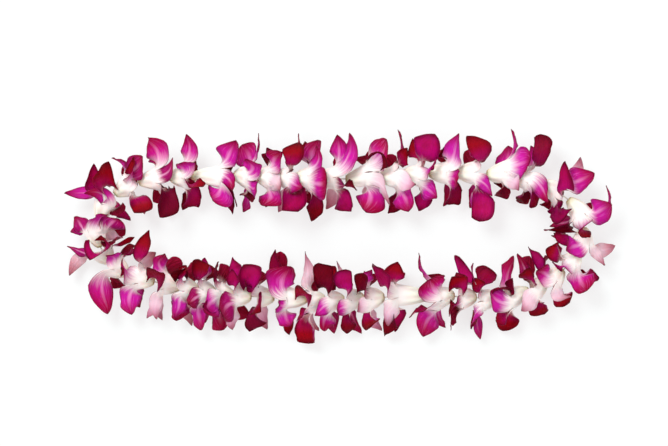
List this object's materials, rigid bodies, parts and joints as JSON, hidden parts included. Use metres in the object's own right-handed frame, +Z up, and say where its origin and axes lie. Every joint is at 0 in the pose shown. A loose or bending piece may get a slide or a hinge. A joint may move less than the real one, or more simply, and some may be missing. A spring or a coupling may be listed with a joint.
{
  "type": "flower lei",
  "caption": "Long oval garland of open magenta and white orchid blooms strung nose to tail on a closed cotton string, worn round the neck.",
  "frame": {"origin": "on the resting surface under the middle of the garland's outline", "axes": "+X along the long side of the oval, +Y across it, +Z up, away from the surface it lies on"},
  "size_m": [0.5075, 0.1984, 0.052],
  "materials": {
    "orchid_petal": "matt, slightly waxy fresh petal, magenta to crimson, with a cream-white body",
    "cotton_string": "matt undyed cotton"
  },
  "bodies": {
    "root": {"bloom_01": "orchid_petal", "bloom_02": "orchid_petal", "bloom_03": "orchid_petal", "bloom_04": "orchid_petal", "bloom_05": "orchid_petal", "bloom_06": "orchid_petal", "bloom_07": "orchid_petal", "bloom_08": "orchid_petal", "bloom_09": "orchid_petal", "bloom_10": "orchid_petal", "bloom_11": "orchid_petal", "bloom_12": "orchid_petal", "bloom_13": "orchid_petal", "bloom_14": "orchid_petal", "bloom_15": "orchid_petal", "bloom_16": "orchid_petal", "bloom_17": "orchid_petal", "bloom_18": "orchid_petal", "bloom_19": "orchid_petal", "bloom_20": "orchid_petal", "bloom_21": "orchid_petal", "bloom_22": "orchid_petal", "bloom_23": "orchid_petal", "bloom_24": "orchid_petal", "bloom_25": "orchid_petal", "bloom_26": "orchid_petal", "bloom_27": "orchid_petal", "bloom_28": "orchid_petal", "bloom_29": "orchid_petal", "bloom_30": "orchid_petal", "bloom_31": "orchid_petal", "bloom_32": "orchid_petal", "bloom_33": "orchid_petal", "bloom_34": "orchid_petal", "bloom_35": "orchid_petal", "bloom_36": "orchid_petal", "bloom_37": "orchid_petal", "bloom_38": "orchid_petal", "bloom_39": "orchid_petal", "bloom_40": "orchid_petal", "bloom_41": "orchid_petal", "bloom_42": "orchid_petal", "bloom_43": "orchid_petal", "lei_string": "cotton_string"}
  },
  "joints": []
}
